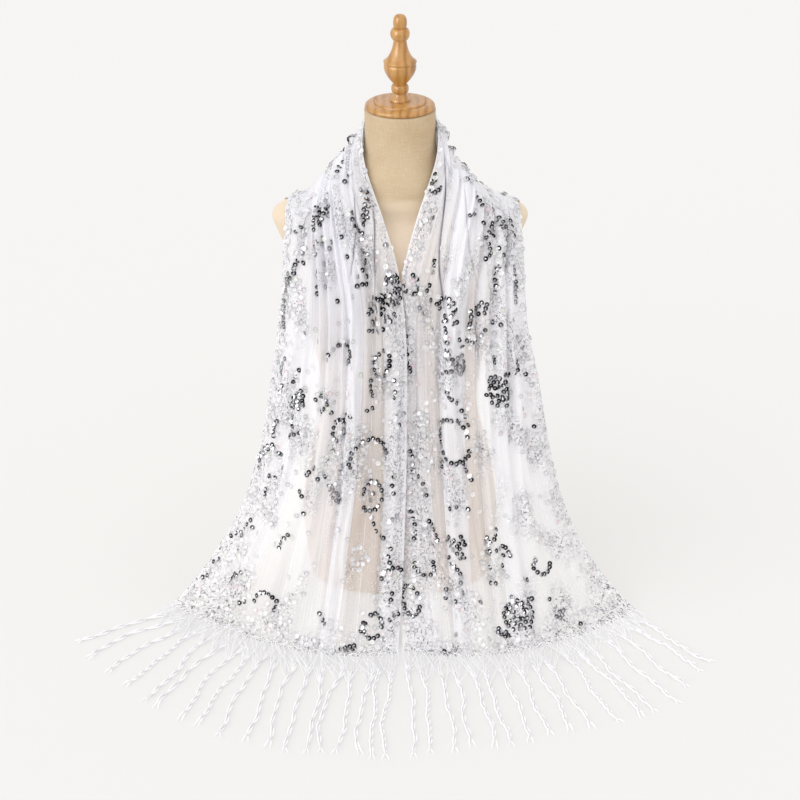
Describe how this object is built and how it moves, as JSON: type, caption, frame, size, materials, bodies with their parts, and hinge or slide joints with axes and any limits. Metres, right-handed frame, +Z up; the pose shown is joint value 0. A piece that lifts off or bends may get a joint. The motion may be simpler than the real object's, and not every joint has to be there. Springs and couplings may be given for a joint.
{
  "type": "evening stole on a dress form",
  "caption": "Sheer fringed evening stole hung round the neck of a limbless linen dress form with a turned wooden neck cap, both ends falling in front and spreading on the floor.",
  "frame": {"origin": "middle of the dress form's flat base, where it stands on the floor", "axes": "+Z up along the form's neck, -Y towards the front where both ends of the stole hang, +X to the viewer's right"},
  "size_m": [0.9426, 0.6397, 0.8954],
  "materials": {
    "form_linen": "plain woven linen cover, matt",
    "cap_wood": "turned and clear varnished, satin",
    "finial_wood": "turned and clear varnished, satin",
    "neck_mesh_cloth": "sheer white mesh with silver sequins",
    "left_mesh_cloth": "sheer white mesh with silver sequins",
    "right_mesh_cloth": "sheer white mesh with silver sequins",
    "left_yarn": "twisted viscose yarn, soft sheen",
    "right_yarn": "twisted viscose yarn, soft sheen"
  },
  "bodies": {
    "root": {"form_torso": "form_linen", "neck_cap": "cap_wood", "finial": "finial_wood", "stole_neck": "neck_mesh_cloth", "stole_fall_left": "left_mesh_cloth", "stole_fall_right": "right_mesh_cloth", "fringe_left": "left_yarn", "fringe_right": "right_yarn"}
  },
  "joints": []
}
